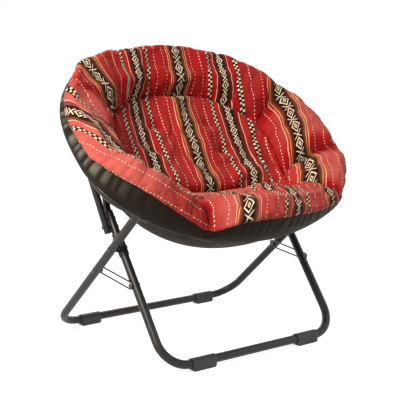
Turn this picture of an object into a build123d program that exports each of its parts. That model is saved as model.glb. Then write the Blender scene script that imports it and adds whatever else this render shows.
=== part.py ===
"""Folding saucer chair: a padded round seat on a hinged steel hoop, carried by two crossed leg frames.

The frame: X to the sitter's left and right, -Y to the front, +Z up. The origin is on the floor, under
the middle of the whole chair. A few names repeat below: "up a leg" runs from its rail to its top, and
the hoop plane is the slanted plane that both halves of the seat hoop lie in when the chair is open.
In that plane v runs up and back from the hinge line, and n stands square to it, up and forward.
"""
import os
from math import acos, asin, atan2, cos, degrees, radians, sin, sqrt, tan

from build123d import *

os.makedirs("parts", exist_ok=True)

# Leg frames: two U frames of round steel tube, crossed at a scissor pivot on each side
leg_diameter = 20.0
leg_wall = 1.5
leg_bend_radius = 65.0
front_leg_width = 510.0  # between the centrelines of the front frame's two legs
leg_side_gap = 5.0  # free space between a front leg and the rear leg beside it
rail_spacing = 455.0  # between the two floor rails when the chair is open
rail_middle_y = 23.5  # from the origin back to the middle of the two rails
front_leg_lower = 300.0  # from the rail to the scissor pivot
front_leg_upper = 95.0  # from the scissor pivot to the cut end
rear_leg_lower = 366.0
rear_leg_upper = 144.0

# Feet: plastic sleeves on the rails, with a flat sole
foot_wall = 2.5
foot_sole = 6.5  # from the underside of the rail to the floor
foot_sole_width = 21.0
front_foot_length = 65.0
rear_foot_length = 58.0
foot_end_gap = 1.0  # from the start of the rail's bend
foot_chamfer = 4.0

# Thin tube: hoops, back posts, support bar and side stays
rod_diameter = 16.0
rod_wall = 1.2
post_spigot = 35.0  # length of post inside the front leg
post_bend_rise = 12.0  # from the leg's cut end to the corner of the post's bend
post_bend_radius = 60.0
support_bar_rise = 13.0  # from the corner of the bend to the support bar
stay_foot_rise = 56.0  # from the scissor pivot up the front leg to the stay's rivet
stay_tail = 12.0  # length of stay beyond its rivet
stay_washer_thickness = 1.0
stay_hoop_angle = 26.4  # place of the stay's top on the rear hoop's corner, from the straight side
stay_cap_thickness = 3.0
stay_play = 0.4  # beyond what the stay's lean takes up, on each side of it

# Seat hoop: two bent tubes, hinged at both sides
hoop_half_width = 360.0
hoop_tilt = 43.9  # slope of the open hoop
hinge_from_middle = -87.0  # the hinge line, forward of the middle of the rails
hinge_z = 447.0
hinge_gap = 14.0  # from the hinge axis to the end of each tube
rear_hoop_side = 60.0  # straight stretch beside the hinge
rear_hoop_corner = 250.0
rear_hoop_depth = 347.0
front_hoop_side = 26.0
front_hoop_corner = 108.0
front_hoop_depth = 221.5
seat_fold_angle = 100.0

# Hinge fittings
hinge_ear_radius = 8.0
hinge_ear_thickness = 2.0
hinge_tongue_thickness = 4.0
hinge_side_gap = 4.0  # between the tongue and each ear, filled by a washer
hinge_collar = 3.0
hinge_plug_length = 20.0
hinge_pin_radius = 2.0
hinge_washer_radius = 5.0

# Scissor pivots
scissor_pin_radius = 3.0
sleeve_wall = 2.0
sleeve_below = 20.0
sleeve_above = 35.0
sleeve_boss_radius = 9.0
sleeve_boss_height = 0.5  # beyond the sleeve's own outside
sleeve_lug_length = 9.0

# Limiter loops: a wire loop on each side that stops the legs from spreading
limiter_pin_drop = 95.0  # from the scissor pivot down each leg to the loop's pins
limiter_wire = 4.0
limiter_bush_radius = 5.7
limiter_corner = 5.0
limiter_pin_radius = 2.0

# Saddles: the rear frame's top fittings, in which the front hoop rests
saddle_clearance = 0.5
saddle_wall = 4.0
saddle_half_length = 9.0
saddle_web = 12.0
saddle_collar = 4.0
saddle_plug_length = 30.0
saddle_rivet_drop = 16.0

# Rivets
rivet_radius = 2.5
rivet_head_radius = 5.0
rivet_head_height = 2.2

# Fits
slip_fit = 0.05  # radial clearance where one piece is pushed into or over another
running_fit = 0.08  # radial clearance of a pin that turns
seat_gap = 0.3  # between a soft piece and what it bears on

# Rim roll: the puffed roll of cushion sewn round the hoop
roll_width = 52.0
roll_height = 64.0
roll_inset = 2.0  # the roll's middle lies this far inside the hoop tube
roll_lift = 12.0  # and this far above it
roll_corner = 22.0
roll_pinch = 7.0  # how far the roll is drawn in at each sewn seam
rear_puffs = 9
front_puffs = 7
slit_half_width = 15.0  # slit in the front roll and cushion, for the saddle
slit_front = 38.0  # from the saddle's middle to the slit's front end
slit_back = 52.0
slit_height = 15.0

# Cushion and its underside cover, as ovals in planes that are parallel to the hoop
flange_top = 6.0
flange_bottom = 20.0
cover_thickness = 3.0
pad_corner = 170.0
crease_gap = 1.0  # from the hinge line to each half of the cushion
roll_ease = 3.0  # between the cushion's flange and the puffs of the roll
cover_ease = 1.5  # between the cushion and its cover
bowl_margin = 3.0  # half-width of the bowl beyond the front legs' centrelines
mouth_margin = 34.0  # from the hoop's side in to the widest oval of the hollow

# Worked out from the driving dimensions
leg_radius = leg_diameter / 2
leg_bore = leg_radius - leg_wall
rod_radius = rod_diameter / 2
rod_bore = rod_radius - rod_wall
front_leg_x = front_leg_width / 2
rear_leg_x = front_leg_x + leg_diameter + leg_side_gap
rail_height = leg_radius + foot_sole
front_slope = acos(
    (rail_spacing**2 + front_leg_lower**2 - rear_leg_lower**2) / (2 * rail_spacing * front_leg_lower)
)
rear_slope = acos(
    (rail_spacing**2 + rear_leg_lower**2 - front_leg_lower**2) / (2 * rail_spacing * rear_leg_lower)
)
front_up = Vector(0, cos(front_slope), sin(front_slope))
rear_up = Vector(0, -cos(rear_slope), sin(rear_slope))
front_rail = Vector(0, rail_middle_y - rail_spacing / 2, rail_height)
rear_rail = Vector(0, rail_middle_y + rail_spacing / 2, rail_height)
pivot = front_rail + front_up * front_leg_lower
across = Vector(1, 0, 0)

tilt = radians(hoop_tilt)
hoop_v = Vector(0, cos(tilt), sin(tilt))
hoop_n = Vector(0, -sin(tilt), cos(tilt))
hinge = Vector(0, rail_middle_y + hinge_from_middle, hinge_z)
hoop_plane = Plane(origin=hinge, x_dir=across, z_dir=hoop_n)


def hoop_point(x, v, n=0.0):
    """The place x to the side, v up the hoop plane and n above it."""
    return hinge + across * x + hoop_v * v + hoop_n * n


def side_plane(x):
    """The upright plane at x, with v to its right and n up."""
    return Plane(origin=hinge + across * x, x_dir=hoop_v, z_dir=across)


def hoop_end_radius(half_width, side, corner, depth):
    """Radius of the wide end arc that runs on from both corner arcs."""
    reach = depth - side
    return ((half_width - corner) ** 2 + reach**2 - corner**2) / (2 * (reach - corner))


def hoop_line(side, corner, depth, front, start, inset=0.0, plane=hoop_plane):
    """Centreline of one half of the hoop, moved inward by inset, starting at v = start."""
    half_width = hoop_half_width
    end_radius = hoop_end_radius(half_width, side, corner, depth)
    turn = degrees(atan2(side - (depth - end_radius), half_width - corner))
    sign = -1 if front else 1
    with BuildLine(plane) as line:
        Line((sign * (half_width - inset), sign * start), (sign * (half_width - inset), sign * side))
        CenterArc(
            (sign * (half_width - corner), sign * side),
            corner - inset,
            180 if front else 0,
            turn,
        )
        CenterArc(
            (0, sign * (depth - end_radius)),
            end_radius - inset,
            turn + (180 if front else 0),
            180 - 2 * turn,
        )
        CenterArc(
            (-sign * (half_width - corner), sign * side),
            corner - inset,
            180 - turn + (180 if front else 0),
            turn,
        )
        Line((-sign * (half_width - inset), sign * side), (-sign * (half_width - inset), sign * start))
    return line.wire()


rear_line = hoop_line(rear_hoop_side, rear_hoop_corner, rear_hoop_depth, False, hinge_gap)
front_line = hoop_line(front_hoop_side, front_hoop_corner, front_hoop_depth, True, hinge_gap)


def tube_along(path, outer, inner):
    """A round tube swept along a path, solid where inner is 0."""
    with BuildPart() as tube:
        with BuildSketch(Plane(path @ 0, z_dir=path % 0)):
            Circle(outer)
            if inner > 0:
                Circle(inner, mode=Mode.SUBTRACT)
        sweep(path=path)
    return tube.part


def rod_between(start, end, outer, inner=0.0):
    """A straight round rod or tube from one point to another."""
    length = (end - start).length
    with BuildPart() as rod:
        with BuildSketch(Plane(start, z_dir=(end - start).normalized())):
            Circle(outer)
            if inner > 0:
                Circle(inner, mode=Mode.SUBTRACT)
        extrude(amount=length)
    return rod.part


def rivet(inner_x, outer_x, centre, shank, head, height):
    """A rivet along X with a domed head at each end."""
    start = Vector(inner_x, centre.Y, centre.Z)
    span = outer_x - inner_x
    with BuildPart() as pin:
        with BuildSketch(Plane(origin=start, x_dir=across, z_dir=(0, -1, 0))):
            with BuildLine():
                Polyline((0, head), (0, shank), (span, shank), (span, head))
                RadiusArc((span, head), (span + height, 0), (head**2 + height**2) / (2 * height))
                Line((span + height, 0), (-height, 0))
                RadiusArc((-height, 0), (0, head), (head**2 + height**2) / (2 * height))
            make_face()
        revolve(axis=Axis(start, across))
    return pin.part


# ---------------------------------------------------------------- front leg frame, with its rivet holes
front_top = pivot + front_up * front_leg_upper
stay_foot = pivot + front_up * stay_foot_rise
front_limiter_pin = pivot - front_up * limiter_pin_drop
post_rivet = front_top - front_up * (post_spigot / 2)
front_frame_plane = Plane(origin=front_rail, x_dir=across, z_dir=(0, -front_up.Z, front_up.Y))
front_leg_length = front_leg_lower + front_leg_upper

with BuildPart() as front_leg_frame:
    with BuildLine(front_frame_plane) as front_leg_path:
        FilletPolyline(
            (-front_leg_x, front_leg_length),
            (-front_leg_x, 0),
            (front_leg_x, 0),
            (front_leg_x, front_leg_length),
            radius=leg_bend_radius,
        )
    with BuildSketch(Plane(front_leg_path.wire() @ 0, z_dir=front_leg_path.wire() % 0)):
        Circle(leg_radius)
        Circle(leg_bore, mode=Mode.SUBTRACT)
    sweep()
    with BuildSketch(Plane.YZ):
        with Locations((pivot.Y, pivot.Z)):
            Circle(scissor_pin_radius + slip_fit)
        with Locations((stay_foot.Y, stay_foot.Z), (post_rivet.Y, post_rivet.Z)):
            Circle(rivet_radius + slip_fit)
        with Locations((front_limiter_pin.Y, front_limiter_pin.Z)):
            Circle(limiter_pin_radius + slip_fit)
    extrude(amount=front_leg_x + leg_diameter, both=True, mode=Mode.SUBTRACT)
front_leg_frame.part.label = "front_leg_frame"

# ----------------------------------------------------------------- rear leg frame, outside the front one
rear_top = pivot + rear_up * rear_leg_upper
rear_limiter_pin = pivot - rear_up * limiter_pin_drop
saddle_rivet = rear_top - rear_up * saddle_rivet_drop
rear_frame_plane = Plane(origin=rear_rail, x_dir=across, z_dir=(0, -rear_up.Z, rear_up.Y))
rear_leg_length = rear_leg_lower + rear_leg_upper

with BuildPart() as rear_leg_frame:
    with BuildLine(rear_frame_plane) as rear_leg_path:
        FilletPolyline(
            (-rear_leg_x, rear_leg_length),
            (-rear_leg_x, 0),
            (rear_leg_x, 0),
            (rear_leg_x, rear_leg_length),
            radius=leg_bend_radius,
        )
    with BuildSketch(Plane(rear_leg_path.wire() @ 0, z_dir=rear_leg_path.wire() % 0)):
        Circle(leg_radius)
        Circle(leg_bore, mode=Mode.SUBTRACT)
    sweep()
    with BuildSketch(Plane.YZ):
        with Locations((pivot.Y, pivot.Z)):
            Circle(scissor_pin_radius + running_fit)
        with Locations((saddle_rivet.Y, saddle_rivet.Z)):
            Circle(rivet_radius + slip_fit)
        with Locations((rear_limiter_pin.Y, rear_limiter_pin.Z)):
            Circle(limiter_pin_radius + slip_fit)
    extrude(amount=rear_leg_x + leg_diameter, both=True, mode=Mode.SUBTRACT)
rear_leg_frame.part.label = "rear_leg_frame"


# --------------------------------------------------------------------------- feet, one pair on each rail
def foot_pair(rail_y, leg_x, length):
    """Two sleeves with flat soles, just inside the bends of one rail."""
    outer_end = leg_x - leg_bend_radius - foot_end_gap
    with BuildPart() as feet:
        with BuildSketch(Plane.YZ.offset(outer_end - length)):
            with Locations((rail_y, rail_height)):
                Circle(leg_radius + foot_wall)
            with Locations((rail_y, rail_height / 2)):
                Rectangle(foot_sole_width, rail_height)
            with Locations((rail_y, rail_height)):
                Circle(leg_radius + slip_fit, mode=Mode.SUBTRACT)
        extrude(amount=length)
        chamfer(feet.edges().filter_by(Axis.Y).group_by(Axis.Z)[0], length=foot_chamfer)
        mirror(about=Plane.YZ)
    return feet.part


with BuildPart() as front_feet:
    add(foot_pair(front_rail.Y, front_leg_x, front_foot_length))
front_feet.part.label = "front_feet"

with BuildPart() as rear_feet:
    add(foot_pair(rear_rail.Y, rear_leg_x, rear_foot_length))
rear_feet.part.label = "rear_feet"

# -------------------------------------------------------- scissor pivots: sleeves, spacers and rivets
sleeve_radius = leg_radius + sleeve_wall
boss_x = front_leg_x + sleeve_radius + sleeve_boss_height
spacer_x = rear_leg_x - leg_radius - seat_gap
sleeve_axis = pivot + across * front_leg_x
sleeve_lug_base = sleeve_axis + front_up * (sleeve_above - sleeve_lug_length)

with BuildPart() as scissor_sleeves:
    with BuildSketch(Plane(sleeve_axis - front_up * sleeve_below, z_dir=front_up)):
        Circle(sleeve_radius)
    extrude(amount=sleeve_below + sleeve_above)
    with BuildSketch(Plane.YZ.offset(front_leg_x)):
        with Locations((pivot.Y, pivot.Z)):
            Circle(sleeve_boss_radius)
    extrude(amount=boss_x - front_leg_x)
    with BuildSketch(Plane(sleeve_lug_base, x_dir=across, z_dir=front_up)):
        with Locations((0, (sleeve_radius + sleeve_lug_length) / 2)):
            SlotOverall(sleeve_radius + sleeve_lug_length, sleeve_radius, rotation=90)
    extrude(amount=sleeve_lug_length / 2)
    with BuildSketch(Plane(sleeve_axis - front_up * 2 * sleeve_below, z_dir=front_up)):
        Circle(leg_radius + slip_fit)
    extrude(amount=3 * (sleeve_below + sleeve_above), mode=Mode.SUBTRACT)
    with BuildSketch(Plane.YZ):
        with Locations((pivot.Y, pivot.Z)):
            Circle(scissor_pin_radius + slip_fit)
    extrude(amount=boss_x + leg_diameter, mode=Mode.SUBTRACT)
    mirror(about=Plane.YZ)
scissor_sleeves.part.label = "scissor_sleeves"

with BuildPart() as scissor_spacers:
    with BuildSketch(Plane.YZ.offset(boss_x)):
        with Locations((pivot.Y, pivot.Z)):
            Circle(sleeve_boss_radius)
            Circle(scissor_pin_radius + slip_fit, mode=Mode.SUBTRACT)
    extrude(amount=spacer_x - boss_x)
    mirror(about=Plane.YZ)
scissor_spacers.part.label = "scissor_spacers"

with BuildPart() as scissor_rivets:
    add(
        rivet(
            front_leg_x - sleeve_radius - seat_gap,
            rear_leg_x + leg_radius + seat_gap,
            pivot,
            scissor_pin_radius,
            rivet_head_radius + 1,
            rivet_head_height,
        )
    )
    mirror(about=Plane.YZ)
scissor_rivets.part.label = "scissor_rivets"

# ------------------------------------------------------------------------------- seat hoop, two halves
with BuildPart() as rear_hoop:
    add(tube_along(rear_line, rod_radius, rod_bore))
rear_hoop.part.label = "rear_hoop"

with BuildPart() as front_hoop:
    add(tube_along(front_line, rod_radius, rod_bore))
front_hoop.part.label = "front_hoop"

hoop_room = rod_radius + seat_gap
rear_hoop_space = tube_along(rear_line, hoop_room, 0)

# --------------------------------------------------- back posts, plugged into the front leg frame's tops
rear_end_radius = hoop_end_radius(hoop_half_width, rear_hoop_side, rear_hoop_corner, rear_hoop_depth)
rear_end_centre = rear_hoop_depth - rear_end_radius
post_top = hoop_point(front_leg_x, rear_end_centre + sqrt(rear_end_radius**2 - front_leg_x**2))
post_bend = front_top + front_up * post_bend_rise + across * front_leg_x
post_direction = (post_top - post_bend).normalized()
post_start = front_top - front_up * post_spigot + across * front_leg_x

with BuildPart() as back_posts:
    with BuildLine() as post_path:
        FilletPolyline(post_start, post_bend, post_top, radius=post_bend_radius)
    with BuildSketch(Plane(post_start, z_dir=front_up)):
        Circle(rod_radius)
        Circle(rod_bore, mode=Mode.SUBTRACT)
    sweep()
    with BuildSketch(Plane.YZ):
        with Locations((post_rivet.Y, post_rivet.Z)):
            Circle(rivet_radius + slip_fit)
    extrude(amount=front_leg_x + leg_diameter, mode=Mode.SUBTRACT)
    add(rear_hoop_space, mode=Mode.SUBTRACT)
    mirror(about=Plane.YZ)
back_posts.part.label = "back_posts"

with BuildPart() as post_rivets:
    add(
        rivet(
            front_leg_x - leg_radius - slip_fit,
            front_leg_x + leg_radius + slip_fit,
            post_rivet,
            rivet_radius,
            rivet_head_radius,
            rivet_head_height,
        )
    )
    mirror(about=Plane.YZ)
post_rivets.part.label = "post_rivets"

# ------------------------------------------- support bar between the posts, under the middle of the seat
support_bar_end = post_bend + post_direction * support_bar_rise
support_bar_middle = Vector(0, support_bar_end.Y, support_bar_end.Z)
post_room = rod_between(post_bend - post_direction * rod_diameter, post_top, hoop_room)

with BuildPart() as seat_support_bar:
    with BuildSketch(Plane(support_bar_middle, x_dir=(0, 1, 0), z_dir=across)):
        Circle(rod_radius)
        Circle(rod_bore, mode=Mode.SUBTRACT)
    extrude(amount=front_leg_x, both=True)
    add(post_room, mode=Mode.SUBTRACT)
    add(post_room.mirror(Plane.YZ), mode=Mode.SUBTRACT)
seat_support_bar.part.label = "seat_support_bar"

# ---------------------------------------------- side stays, from the front legs to the rear hoop's sides
stay_turn = radians(stay_hoop_angle)
stay_top = hoop_point(
    hoop_half_width - rear_hoop_corner + rear_hoop_corner * cos(stay_turn),
    rear_hoop_side + rear_hoop_corner * sin(stay_turn),
)
stay_rise = (Vector(0, stay_top.Y, stay_top.Z) - stay_foot).length
stay_lean = (stay_top.X - front_leg_x - leg_radius - rod_radius) / stay_rise
stay_head_gap = rivet_head_radius * stay_lean + stay_play
stay_x = front_leg_x + leg_radius + stay_washer_thickness + stay_head_gap + rod_radius
stay_rivet_point = stay_foot + across * stay_x
stay_direction = (stay_top - stay_rivet_point).normalized()
stay_end = stay_rivet_point - stay_direction * stay_tail

with BuildPart() as side_stays:
    add(rod_between(stay_end, stay_top, rod_radius, rod_bore))
    with BuildSketch(Plane.YZ):
        with Locations((stay_foot.Y, stay_foot.Z)):
            Circle(rivet_radius + slip_fit)
    extrude(amount=stay_x + rod_diameter, mode=Mode.SUBTRACT)
    add(rear_hoop_space, mode=Mode.SUBTRACT)
    mirror(about=Plane.YZ)
side_stays.part.label = "side_stays"

with BuildPart() as stay_end_caps:
    add(rod_between(stay_end - stay_direction * stay_cap_thickness, stay_end, rod_radius))
    add(rod_between(stay_end, stay_end + stay_direction * stay_tail / 2, rod_bore - slip_fit))
    mirror(about=Plane.YZ)
stay_end_caps.part.label = "stay_end_caps"

with BuildPart() as stay_washers:
    with BuildSketch(Plane.YZ.offset(front_leg_x + leg_radius + slip_fit)):
        with Locations((stay_foot.Y, stay_foot.Z)):
            Circle(rivet_head_radius)
            Circle(rivet_radius + slip_fit, mode=Mode.SUBTRACT)
    extrude(amount=stay_washer_thickness)
    mirror(about=Plane.YZ)
stay_washers.part.label = "stay_washers"

with BuildPart() as stay_rivets:
    add(
        rivet(
            front_leg_x - leg_radius - slip_fit,
            stay_x + rod_radius + stay_head_gap,
            stay_foot,
            rivet_radius,
            rivet_head_radius,
            rivet_head_height,
        )
    )
    mirror(about=Plane.YZ)
stay_rivets.part.label = "stay_rivets"

# ------------------------------------------------------------------------------ hoop hinges at both sides
ear_offset = hinge_tongue_thickness / 2 + hinge_side_gap
hinge_end_plane = Plane(origin=hoop_point(hoop_half_width, 0), x_dir=across, z_dir=hoop_v)
collar_inner = hinge_gap - hinge_collar

with BuildPart() as rear_hinge_clevises:
    for ear_x in (-ear_offset - hinge_ear_thickness, ear_offset):
        with BuildSketch(side_plane(hoop_half_width + ear_x)):
            Circle(hinge_ear_radius)
            with Locations((collar_inner / 2, 0)):
                Rectangle(collar_inner, 2 * hinge_ear_radius)
            Circle(hinge_pin_radius + running_fit, mode=Mode.SUBTRACT)
        extrude(amount=hinge_ear_thickness)
    with BuildSketch(hinge_end_plane.offset(collar_inner)):
        Circle(rod_radius)
    extrude(amount=hinge_collar)
    with BuildSketch(hinge_end_plane.offset(hinge_gap)):
        Circle(rod_bore - slip_fit)
    extrude(amount=hinge_plug_length)
    mirror(about=Plane.YZ)
rear_hinge_clevises.part.label = "rear_hinge_clevises"

with BuildPart() as front_hinge_tongues:
    with BuildSketch(side_plane(hoop_half_width - hinge_tongue_thickness / 2)):
        Circle(hinge_ear_radius)
        with Locations((-hinge_gap / 2, 0)):
            Rectangle(hinge_gap, 2 * hinge_ear_radius)
        Circle(hinge_pin_radius + running_fit, mode=Mode.SUBTRACT)
    extrude(amount=hinge_tongue_thickness)
    with BuildSketch(hinge_end_plane.offset(-hinge_gap)):
        Circle(rod_radius)
    extrude(amount=1)
    with BuildSketch(hinge_end_plane.offset(-hinge_gap)):
        Circle(rod_bore - slip_fit)
    extrude(amount=-hinge_plug_length / 2)
    mirror(about=Plane.YZ)
front_hinge_tongues.part.label = "front_hinge_tongues"

with BuildPart() as hinge_washers:
    for washer_x in (-ear_offset, hinge_tongue_thickness / 2 + seat_gap):
        with BuildSketch(side_plane(hoop_half_width + washer_x)):
            Circle(hinge_washer_radius)
            Circle(hinge_pin_radius + slip_fit, mode=Mode.SUBTRACT)
        extrude(amount=hinge_side_gap - seat_gap)
    mirror(about=Plane.YZ)
hinge_washers.part.label = "hinge_washers"

with BuildPart() as hinge_rivets:
    add(
        rivet(
            hoop_half_width - ear_offset - hinge_ear_thickness,
            hoop_half_width + ear_offset + hinge_ear_thickness,
            hinge,
            hinge_pin_radius,
            rivet_head_radius - 1,
            rivet_head_height,
        )
    )
    mirror(about=Plane.YZ)
hinge_rivets.part.label = "hinge_rivets"

# ---------------------------------------------------- saddles on the rear legs, open towards the front
front_end_radius = hoop_end_radius(hoop_half_width, front_hoop_side, front_hoop_corner, front_hoop_depth)
front_end_centre = front_end_radius - front_hoop_depth
saddle_v = front_end_centre - sqrt(front_end_radius**2 - rear_leg_x**2)
saddle_point = hoop_point(rear_leg_x, saddle_v)
saddle_turn = asin(rear_leg_x / front_end_radius)
saddle_tangent = (across * cos(saddle_turn) + hoop_v * sin(saddle_turn)).normalized()
saddle_outward = (across * sin(saddle_turn) - hoop_v * cos(saddle_turn)).normalized()
saddle_mouth = (saddle_outward * 0.56 + hoop_n * 0.83).normalized()
saddle_bore = rod_radius + saddle_clearance
saddle_radius = saddle_bore + saddle_wall
saddle_plane = Plane(origin=saddle_point, x_dir=saddle_mouth, z_dir=saddle_tangent)
rear_top_right = rear_top + across * rear_leg_x

with BuildPart() as hoop_saddles:
    with BuildSketch(saddle_plane):
        Circle(saddle_radius)
    extrude(amount=saddle_half_length, both=True)
    with BuildSketch(Plane.YZ.offset(rear_leg_x)):
        with Locations((saddle_point.Y, saddle_point.Z)):
            Circle(saddle_radius - 2)
        with Locations((rear_top.Y + rear_up.Y * saddle_collar, rear_top.Z + rear_up.Z * saddle_collar)):
            Circle(leg_radius - 2)
        make_hull()
    extrude(amount=saddle_web / 2, both=True)
    add(rod_between(rear_top_right, rear_top_right + rear_up * saddle_collar, leg_radius))
    add(rod_between(rear_top_right - rear_up * leg_diameter, rear_top_right, leg_diameter), mode=Mode.SUBTRACT)
    with BuildSketch(saddle_plane):
        Circle(saddle_bore)
        with Locations((saddle_radius, 0)):
            Rectangle(2 * saddle_radius, 2 * saddle_bore)
    extrude(amount=2 * saddle_radius, both=True, mode=Mode.SUBTRACT)
    add(rod_between(rear_top_right - rear_up * saddle_plug_length, rear_top_right, leg_bore - slip_fit))
    with BuildSketch(Plane.YZ):
        with Locations((saddle_rivet.Y, saddle_rivet.Z)):
            Circle(rivet_radius + slip_fit)
    extrude(amount=rear_leg_x + leg_diameter, mode=Mode.SUBTRACT)
    mirror(about=Plane.YZ)
hoop_saddles.part.label = "hoop_saddles"

with BuildPart() as saddle_rivets:
    add(
        rivet(
            rear_leg_x - leg_radius - slip_fit,
            rear_leg_x + leg_radius + slip_fit,
            saddle_rivet,
            rivet_radius,
            rivet_head_radius,
            rivet_head_height,
        )
    )
    mirror(about=Plane.YZ)
saddle_rivets.part.label = "saddle_rivets"

# ----------------------------------------------------- limiter loops and their pins, between the legs
loop_x = front_leg_x + leg_radius + leg_side_gap / 2
loop_span = (front_limiter_pin - rear_limiter_pin).length
loop_direction = (front_limiter_pin - rear_limiter_pin).normalized()
loop_half_width = limiter_bush_radius + seat_gap + limiter_wire / 2
loop_plane = Plane(origin=rear_limiter_pin + across * loop_x, x_dir=loop_direction, z_dir=across)
loop_back = -loop_half_width
loop_front = loop_span + limiter_pin_radius + seat_gap + limiter_wire / 2

with BuildPart() as limiter_loops:
    with BuildLine(loop_plane) as loop_path:
        FilletPolyline(
            (loop_span / 2, -loop_half_width),
            (loop_back, -loop_half_width),
            (loop_back, loop_half_width),
            (loop_front, loop_half_width),
            (loop_front, -loop_half_width),
            (loop_span / 2 + 1, -loop_half_width),
            radius=limiter_corner,
        )
        Line((loop_span / 2 + 1, -loop_half_width), (loop_span / 2, -loop_half_width))
    with BuildSketch(Plane(loop_path.wire() @ 0, z_dir=loop_path.wire() % 0)):
        Circle(limiter_wire / 2)
    sweep()
    mirror(about=Plane.YZ)
limiter_loops.part.label = "limiter_loops"

bush_inner_x = loop_x - limiter_wire / 2
with BuildPart() as limiter_bushes:
    with BuildSketch(Plane.YZ.offset(bush_inner_x)):
        with Locations((rear_limiter_pin.Y, rear_limiter_pin.Z)):
            Circle(limiter_bush_radius)
            Circle(limiter_pin_radius + slip_fit, mode=Mode.SUBTRACT)
    extrude(amount=rear_leg_x - leg_radius - slip_fit - bush_inner_x)
    mirror(about=Plane.YZ)
limiter_bushes.part.label = "limiter_bushes"

with BuildPart() as limiter_rear_pins:
    add(
        rivet(
            bush_inner_x - slip_fit,
            rear_leg_x + leg_radius + slip_fit,
            rear_limiter_pin,
            limiter_pin_radius,
            rivet_head_radius,
            rivet_head_height / 2,
        )
    )
    mirror(about=Plane.YZ)
limiter_rear_pins.part.label = "limiter_rear_pins"

with BuildPart() as limiter_front_pins:
    add(
        rivet(
            front_leg_x - leg_radius - slip_fit,
            loop_x + limiter_wire / 2 + seat_gap,
            front_limiter_pin,
            limiter_pin_radius,
            rivet_head_radius,
            rivet_head_height,
        )
    )
    mirror(about=Plane.YZ)
limiter_front_pins.part.label = "limiter_front_pins"


# -------------------------------------------------------------------------- rim roll, sewn into puffs
def roll_section(line, place, pinch):
    """The roll's cross-section at one place along the hoop, drawn in by pinch all round."""
    tangent = line % place
    station = Plane(origin=line @ place, x_dir=hoop_n, z_dir=tangent)
    with BuildSketch(station) as section:
        with Locations((roll_lift, -roll_inset)):
            RectangleRounded(roll_height - 2 * pinch, roll_width - 2 * pinch, roll_corner - pinch / 2)
    return section.sketch


def puffed_roll(line, puffs):
    """A row of puffs along the hoop, each drawn in where it is sewn to the next."""
    with BuildPart() as roll:
        for puff in range(puffs):
            loft(
                sections=[
                    roll_section(line, puff / puffs, roll_pinch),
                    roll_section(line, (puff + 0.25) / puffs, 0.5),
                    roll_section(line, (puff + 0.75) / puffs, 0.5),
                    roll_section(line, (puff + 1) / puffs, roll_pinch),
                ]
            )
    return roll.part


# Room that the soft pieces leave: a wedge over the hinge line, the hinges, and the saddle's slit
notch_half_angle = radians(seat_fold_angle / 2 + 1.5)
notch_height = 2 * roll_height
with BuildPart() as fold_notch:
    with BuildSketch(side_plane(0)):
        Polygon(
            (-crease_gap, 0),
            (crease_gap, 0),
            (crease_gap + notch_height * tan(notch_half_angle), notch_height),
            (-crease_gap - notch_height * tan(notch_half_angle), notch_height),
            align=None,
        )
    extrude(amount=hoop_half_width + roll_width, both=True)
    hinge_room = ear_offset + hinge_ear_thickness + rivet_head_height + 2 * seat_gap
    for side in (-1, 1):
        with BuildSketch(side_plane(side * hoop_half_width)):
            Rectangle(2 * hinge_gap, 2 * (hinge_ear_radius + 1))
        extrude(amount=hinge_room, both=True)

with BuildPart() as saddle_slit:
    with BuildSketch(side_plane(rear_leg_x)):
        with Locations((saddle_v + (slit_back - slit_front) / 2, slit_height - notch_height)):
            Rectangle(slit_back + slit_front, 2 * notch_height)
    extrude(amount=slit_half_width, both=True)
    mirror(about=Plane.YZ)

with BuildPart() as frame_room:
    add(rod_between(post_bend, post_top, hoop_room))
    add(rod_between(stay_end, stay_top, hoop_room))
    mirror(about=Plane.YZ)

roll_start = crease_gap + seat_gap
rear_roll_line = hoop_line(rear_hoop_side, rear_hoop_corner, rear_hoop_depth, False, roll_start)
front_roll_line = hoop_line(front_hoop_side, front_hoop_corner, front_hoop_depth, True, roll_start)

with BuildPart() as rear_rim_roll:
    add(puffed_roll(rear_roll_line, rear_puffs))
    add(tube_along(rear_roll_line, hoop_room, 0), mode=Mode.SUBTRACT)
    add(fold_notch.part, mode=Mode.SUBTRACT)
    add(frame_room.part, mode=Mode.SUBTRACT)
rear_rim_roll.part.label = "rear_rim_roll"

with BuildPart() as front_rim_roll:
    add(puffed_roll(front_roll_line, front_puffs))
    add(tube_along(front_roll_line, hoop_room, 0), mode=Mode.SUBTRACT)
    add(fold_notch.part, mode=Mode.SUBTRACT)
    add(saddle_slit.part, mode=Mode.SUBTRACT)
front_rim_roll.part.label = "front_rim_roll"

# ------------------------------------------------- cushion bowl and underside cover, each in two halves
support_bar_depth = -(support_bar_middle - hinge).dot(hoop_n)
cover_depth = support_bar_depth - rod_radius - seat_gap
pad_depth = cover_depth - cover_thickness - cover_ease
bowl_width = front_leg_x + bowl_margin
mouth_width = hoop_half_width - mouth_margin


def oval(depth, half_width, front_share, back_share, corner=pad_corner, grow=0.0):
    """An oval outline at a depth under the hoop plane; its ends are shares of each half hoop's depth."""
    front = -front_share * front_hoop_depth
    back = back_share * rear_hoop_depth
    with BuildSketch(hoop_plane.offset(-depth)) as outline:
        with Locations((0, (front + back) / 2)):
            RectangleRounded(2 * (half_width + grow), back - front + 2 * grow, corner + grow)
    return outline.sketch


def bowl_outside(top, depth, grow):
    """The cushion's outer form from a depth of top down, widened by grow for the cover."""
    with BuildPart() as bowl:
        loft(
            sections=[
                oval(top, bowl_width, 0.777, 0.853, grow=grow),
                oval(0.56 * depth, 0.93 * bowl_width, 0.822, 0.784, grow=grow),
                oval(0.85 * depth, 0.822 * bowl_width, 0.822, 0.548, grow=grow),
                oval(depth, 0.581 * bowl_width, 0.722, 0.19, corner=100, grow=grow),
            ]
        )
    return bowl.part


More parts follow.
